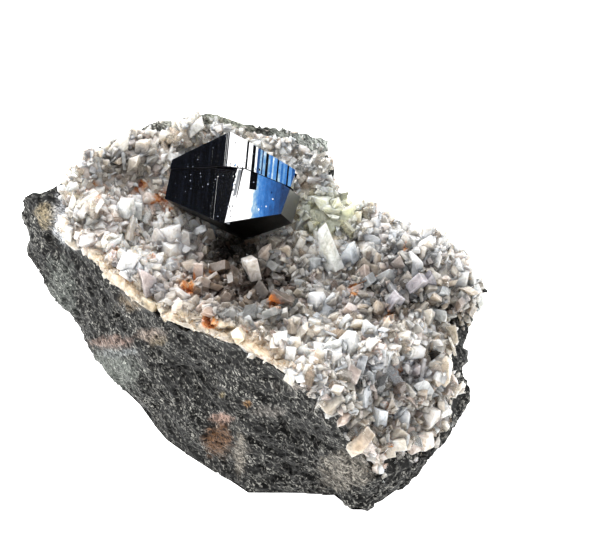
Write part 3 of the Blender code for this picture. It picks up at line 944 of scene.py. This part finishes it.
def anataseHalf(girdle, bands, faces, low=False):
    # one block of the crystal, cut into growth bands that each slope a little differently
    slope = 1 / math.tan(anatase["pyramid"])
    right = Vector((1, 0, 0))
    sides = []
    for side in (Vector((0, 1, 0)), Vector((0, -1, 0)), Vector((0, 0, 1)), Vector((0, 0, -1))):
        for end in (right, -right):
            steep = end == right and (side.y < 0 or side.z < 0)
            angle = anatase["steep"] if steep else anatase["pyramid"]
            normal = side * math.sin(angle) + end * math.cos(angle)
            distance = anatase["halfWidth"] * math.sin(angle) + normal.x * girdle
            sides.append((normal, distance))
    solid = cutBy(faces + sides)
    first = -anatase["leftEnd"] - 1
    points = bandProfile(bands, first, anatase["halfWidth"] - slope * (girdle - first))
    for x, _ in points[1:-1]:
        bmesh.ops.bisect_plane(
            solid, geom=solid.verts[:] + solid.edges[:] + solid.faces[:],
            plane_co=(x, 0, 0), plane_no=(1, 0, 0)
        )
    for vert in solid.verts:
        plain = anatase["halfWidth"] - slope * abs(vert.co.x - girdle)
        scale = widthAt(vert.co.x, points) / plain
        if vert.co.z > 0:
            vert.co.z *= scale
        if vert.co.y > anatase["stepHeight"] + hair and not low:
            vert.co.y *= scale
    return solid


def makeAnatase():
    tilt = anatase["leftTilt"]
    right = Vector((1, 0, 0))
    leftEnd = Vector((-math.cos(tilt), math.sin(tilt), 0))
    lean = anatase["rightTilt"]
    rightEnd = Vector((math.cos(lean), -math.sin(lean), 0))
    ends = [(rightEnd, anatase["rightEnd"]), (leftEnd, anatase["leftEnd"])]
    step = Vector((0, 1, 0))
    lower = anataseHalf(0, anatase["lowerBands"], ends + [(step, anatase["stepHeight"])])
    cutOff(lower, *anatase["ridgeFacet"])
    start, first = pixelRay(*anatase["corner"][0])
    second = pixelRay(*anatase["corner"][1])[1]
    inverse = crystalMatrix().inverted()
    across = second.cross(first)
    across *= math.copysign(1, across.dot(viewUp))
    cutOff(lower, inverse @ start, (inverse.to_3x3() @ across).normalized())
    lean = anatase["upperLean"]
    upperEnds = ends + [(Vector((math.cos(lean), 0, -math.sin(lean))), anatase["upperEnd"])]
    upper = anataseHalf(
        -anatase["stepShift"], anatase["upperBands"],
        upperEnds + [(-step, anatase["overlap"] - anatase["stepHeight"])],
    )
    # the strip under the upper block's right half, whose lower edge slants down
    drop = anatase["stripDrop"]
    slant = Vector((-math.sin(drop), -math.cos(drop), 0))
    start = Vector((anatase["stripStart"], anatase["stepHeight"] - anatase["overlap"], 0))
    strip = anataseHalf(
        -anatase["stepShift"], anatase["upperBands"],
        upperEnds + [(slant, start.dot(slant)), (-right, -start.x), (step, start.y + anatase["stripLap"])],
        True,
    )
    parts = [lower, upper, strip] + growthPlates(lower, upper)
    for size, tilt, slant, place, frosted in anatase["laths"]:
        lath = slab(size, tilt, slant, place)
        for face in lath.faces:
            face.material_index = 2 if frosted else 0
        parts.append(lath)
    whole = bmesh.new()
    for part in parts:
        bmesh.ops.transform(part, verts=part.verts, matrix=crystalMatrix())
        bmesh.ops.recalc_face_normals(part, faces=part.faces)
        mesh = toMesh(part, "part")
        whole.from_mesh(mesh)
        bpy.data.meshes.remove(mesh)
    # bright faces, the dull underside, made darker as painted shade, and the frosted end are three finishes
    turn = crystalMatrix().to_3x3()
    down = turn @ Vector((0, -1, 0))
    end = turn @ rightEnd
    downShare, endShare = anatase["facing"]
    whole.normal_update()
    for face in whole.faces:
        if face.normal.dot(down) > downShare:
            face.material_index = 1
        elif face.normal.dot(end) > endShare:
            face.material_index = 2
    materials = [anataseMaterial(), shadedUndersideMaterial(), frostedMaterial()]
    return finishPiece("anatase", toMesh(whole, "anatase"), materials, ["anatase_crystal"])


def slab(size, tilt, slant, place):
    solid = bmesh.new()
    bmesh.ops.create_cube(solid, size=1)
    bmesh.ops.scale(solid, verts=solid.verts, vec=size)
    bmesh.ops.rotate(solid, verts=solid.verts, matrix=Matrix.Rotation(tilt, 3, "Y"))
    bmesh.ops.rotate(solid, verts=solid.verts, matrix=Matrix.Rotation(-slant, 3, "Z"))
    bmesh.ops.translate(solid, verts=solid.verts, vec=place)
    return solid


def growthPlates(lower, upper):
    plates = anatase["plates"]
    draw = random.Random(plates["seed"])
    trees = [BVHTree.FromBMesh(solid) for solid in (lower, upper)]
    made = []
    for (left, right), (bottom, top), count in plates["spots"]:
        for _ in range(count):
            start = Vector((draw.uniform(left, right), draw.uniform(bottom, top), plates["above"]))
            hits = [tree.ray_cast(start, Vector((0, 0, -1))) for tree in trees]
            hits = [hit for hit in hits if hit[0]]
            wide, tall = (draw.uniform(*plates["sizes"]) for _ in range(2))
            lean = draw.uniform(-plates["tilt"], plates["tilt"])
            slant = draw.uniform(-plates["slant"], plates["slant"])
            if not hits:
                continue
            point, normal = min(hits, key=lambda hit: hit[3])[:2]
            tilt = math.atan2(normal.x, normal.z) + lean
            size = (wide * plates["narrow"], tall, plates["thickness"])
            made.append(slab(size, tilt, slant, point))
    return made


def shadedUndersideMaterial():
    # anatase etched while it grew: its underside is matt black, and its weak reflections are painted shade
    # for the shadow beneath the crystal
    material, tree, shader = newMaterial("etched anatase with painted shade")
    setNode(shader, {
        "Base Color": rgba(anatase["shadedUndersideColour"]), "Roughness": 0.42, "IOR": 1.35,
        "Specular IOR Level": 0.2,
    })
    addPits(tree, shader)
    return material


def frostedMaterial():
    # the end face, finely pitted: dark grey with a satin lustre
    material, tree, shader = newMaterial("frosted anatase")
    setNode(shader, {"Base Color": rgba(anatase["endColour"]), "Roughness": 0.38, "IOR": 1.8})
    addPits(tree, shader)
    return material


def addPits(tree, shader):
    place = addNode(tree, "TexCoord")
    pits = addNode(tree, "TexNoise", {
        "Scale": perMetre(anatase["pitSize"]), "Detail": 4.0, "Roughness": 0.65,
    }, {"Vector": place.outputs["Object"]})
    bump = addNode(tree, "Bump", {"Strength": 0.35, "Distance": 0.06 * mm}, {"Height": pits})
    setNode(shader, links={"Normal": bump})


def anataseMaterial():
    # anatase: opaque indigo-black with an adamantine, mirror-like lustre
    material, tree, shader = newMaterial("indigo-black anatase")
    place = addNode(tree, "TexCoord").outputs["Object"]
    height, width = anatase["wave"]
    wave = addNode(tree, "TexNoise", {"Scale": perMetre(width), "Detail": 2.0}, {"Vector": place})
    bump = addNode(tree, "Bump", {"Strength": 1.0, "Distance": height * mm}, {"Height": wave})
    # growth lines about 0.2 mm apart, square to the crystal's length
    along = addNode(tree, "Mapping", {
        "vector_type": "TEXTURE", "Rotation": tuple(crystalMatrix().to_euler()), "Scale": (1, 60, 60),
    }, {"Vector": place})
    lines = addNode(tree, "TexNoise", {
        "Scale": perMetre(anatase["lineSize"]), "Detail": 2.0, "Roughness": 0.7,
    }, {"Vector": along})
    amount = addNode(tree, "MapRange", {"From Min": 0.5, "From Max": 0.72}, {"Value": lines})
    striae = addNode(tree, "Mix", {
        "data_type": "RGBA", 6: rgba(anatase["colour"]), 7: rgba(anatase["striaColour"]),
    }, {0: amount})
    # pale dust, and painted glints standing for tiny growth pits, all less than 0.1 mm
    glintsAndDust = addNode(tree, "TexVoronoi", {"Scale": perMetre(anatase["glintAndDustSpacing"])}, {"Vector": place})
    apart = addNode(tree, "SeparateColor", {}, {0: glintsAndDust.outputs["Color"]})
    few = addNode(tree, "MapRange", {"From Min": 0.9, "To Max": 0.32}, {"Value": apart})
    dot = addNode(tree, "Math", {"operation": "LESS_THAN"}, {0: glintsAndDust, 1: few})
    colour = addNode(tree, "Mix", {"data_type": "RGBA", 7: rgba(anatase["glintAndDustColour"])}, {
        0: dot, 6: striae.outputs[2],
    })
    setNode(shader, {"Roughness": 0.06, "IOR": 2.5}, {"Base Color": colour.outputs[2], "Normal": bump})
    return material


studio = {
    "floor": "#f6f6f4",
    "floorReach": 1.5,
    "floorGlow": 0.9,
    # the main light, from behind and the left; its brightness is that of its surface
    "key": {"aim": (-0.62, 0.44, 0.68), "distance": 0.6, "size": (0.5, 0.5), "radiance": 8},
    "top": {"aim": (0.0, 0.25, 1.0), "distance": 0.7, "size": (0.8, 0.8), "radiance": 3.6},
    # a graded card that the anatase mirrors: where each colour starts, as the face's tilt
    "card": [
        (-0.28, (9, 9, 9)), (0.028, (9, 9, 9)), (0.034, (2.4, 3.6, 4.4)), (0.041, (1.0, 2.3, 3.7)),
        (0.050, (0.32, 1.5, 4.0)), (0.062, (0.08, 0.9, 3.0)), (0.085, (0.01, 0.34, 1.3)),
        (0.12, (0.01, 0.08, 0.3)), (0.135, (0, 0, 0)),
    ],
    "cardHeight": 0.3,
    "cardDistance": 0.5,
    "fill": 1.9,
    "mirrorFill": 0.02,
}


def areaLight(name):
    lamp = studio[name]
    wide, deep = lamp["size"]
    data = bpy.data.lights.new(name, "AREA")
    data.shape = "RECTANGLE"
    data.size, data.size_y = wide, deep
    data.energy = lamp["radiance"] * math.pi * wide * deep
    light = bpy.data.objects.new(name, data)
    aim = Vector(lamp["aim"]).normalized()
    turn = aim.to_track_quat("Z", "Y").to_matrix().to_4x4()
    light.matrix_world = Matrix.Translation(aim * lamp["distance"]) @ turn
    bpy.context.scene.collection.objects.link(light)
    return light


def mirrorAim(tilt):
    # where the crystal's bright face looks when it is tilted along the crystal
    turn = crystalMatrix().to_3x3()
    lean = math.pi / 2 - anatase["pyramid"] + tilt
    normal = turn @ Vector((math.sin(lean), 0, math.cos(lean)))
    sight = (anatase["centre"] - viewPoint).normalized()
    return sight - 2 * sight.dot(normal) * normal


def mirrorCard(receiver):
    stops = studio["card"]
    first, last = mirrorAim(stops[0][0]), mirrorAim(stops[-1][0])
    middle = mirrorAim((stops[0][0] + stops[-1][0]) / 2)
    along = (last - first - (last - first).project(middle)).normalized()
    turn = Matrix((along, middle.cross(along), middle)).transposed().to_4x4()
    width = first.angle(last) * studio["cardDistance"]
    solid = bmesh.new()
    bmesh.ops.create_grid(solid, x_segments=1, y_segments=1, size=0.5)
    bmesh.ops.scale(solid, verts=solid.verts, vec=(width, studio["cardHeight"], 1))
    card = linked("card", toMesh(solid, "card"))
    card.matrix_world = Matrix.Translation(
        anatase["centre"] * mm + middle * studio["cardDistance"]
    ) @ turn
    material, tree, shader = newMaterial("graded card")
    place = addNode(tree, "TexCoord")
    apart = addNode(tree, "SeparateXYZ", {}, {0: place.outputs["Object"]})
    reach = addNode(tree, "MapRange", {"From Min": -width / 2, "From Max": width / 2}, {
        "Value": apart.outputs["X"],
    })
    span = stops[-1][0] - stops[0][0]
    strongest = max(stops[0][1])
    graded = addNode(tree, "ValToRGB", {"stops": [
        ((tilt - stops[0][0]) / span, (*[part / strongest for part in glow], 1)) for tilt, glow in stops
    ]}, {"Fac": reach})
    setNode(shader, {"Base Color": (0, 0, 0, 1), "Emission Strength": strongest}, {
        "Emission Color": graded,
    })
    card.data.materials.append(material)
    for rays in ("camera", "diffuse", "transmission", "shadow"):
        setattr(card, "visible_" + rays, False)
    receivers = bpy.data.collections.new("mirrors the card")
    receivers.objects.link(receiver)
    card.light_linking.receiver_collection = receivers


def makeStudio(receiver):
    solid = bmesh.new()
    bmesh.ops.create_grid(solid, x_segments=1, y_segments=1, size=studio["floorReach"])
    floor = linked("floor", toMesh(solid, "floor"))
    material, _, shader = newMaterial("pale floor")
    setNode(shader, {
        "Base Color": rgba(studio["floor"]), "Roughness": 0.9,
        "Emission Color": (1, 1, 1, 1), "Emission Strength": studio["floorGlow"],
    })
    floor.data.materials.append(material)
    # the anatase mirrors only the card and the soft light from above
    spared = bpy.data.collections.new("not lit by the key")
    spared.objects.link(receiver)
    spared.collection_objects[0].light_linking.link_state = "EXCLUDE"
    areaLight("key").light_linking.receiver_collection = spared
    areaLight("top")
    mirrorCard(receiver)
    world = bpy.data.worlds.new("studio")
    bpy.context.scene.world = world
    world.use_nodes = True
    tree = world.node_tree
    path = addNode(tree, "LightPath")
    strength = addNode(tree, "MapRange", {
        "To Min": studio["fill"], "To Max": studio["mirrorFill"],
    }, {"Value": path.outputs["Is Glossy Ray"]})
    setNode(tree.nodes["Background"], {"Color": (1, 1, 1, 1)}, {"Strength": strength})
    bpy.context.scene.view_settings.view_transform = "Standard"


makeCamera()
shapes = [mergedCopy(node) for node in ("crystal_crust", "matrix_rock", "anatase_crystal")]
trees = [BVHTree.FromBMesh(shape) for shape in shapes]
print("rock")
makeBlock(trees[0])
print("crust")
milky = feldsparMaterial()
makeBed(milky)
makeCrust(trees, milky)
print("anatase")
crystal = makeAnatase()
print("studio")
makeStudio(crystal)
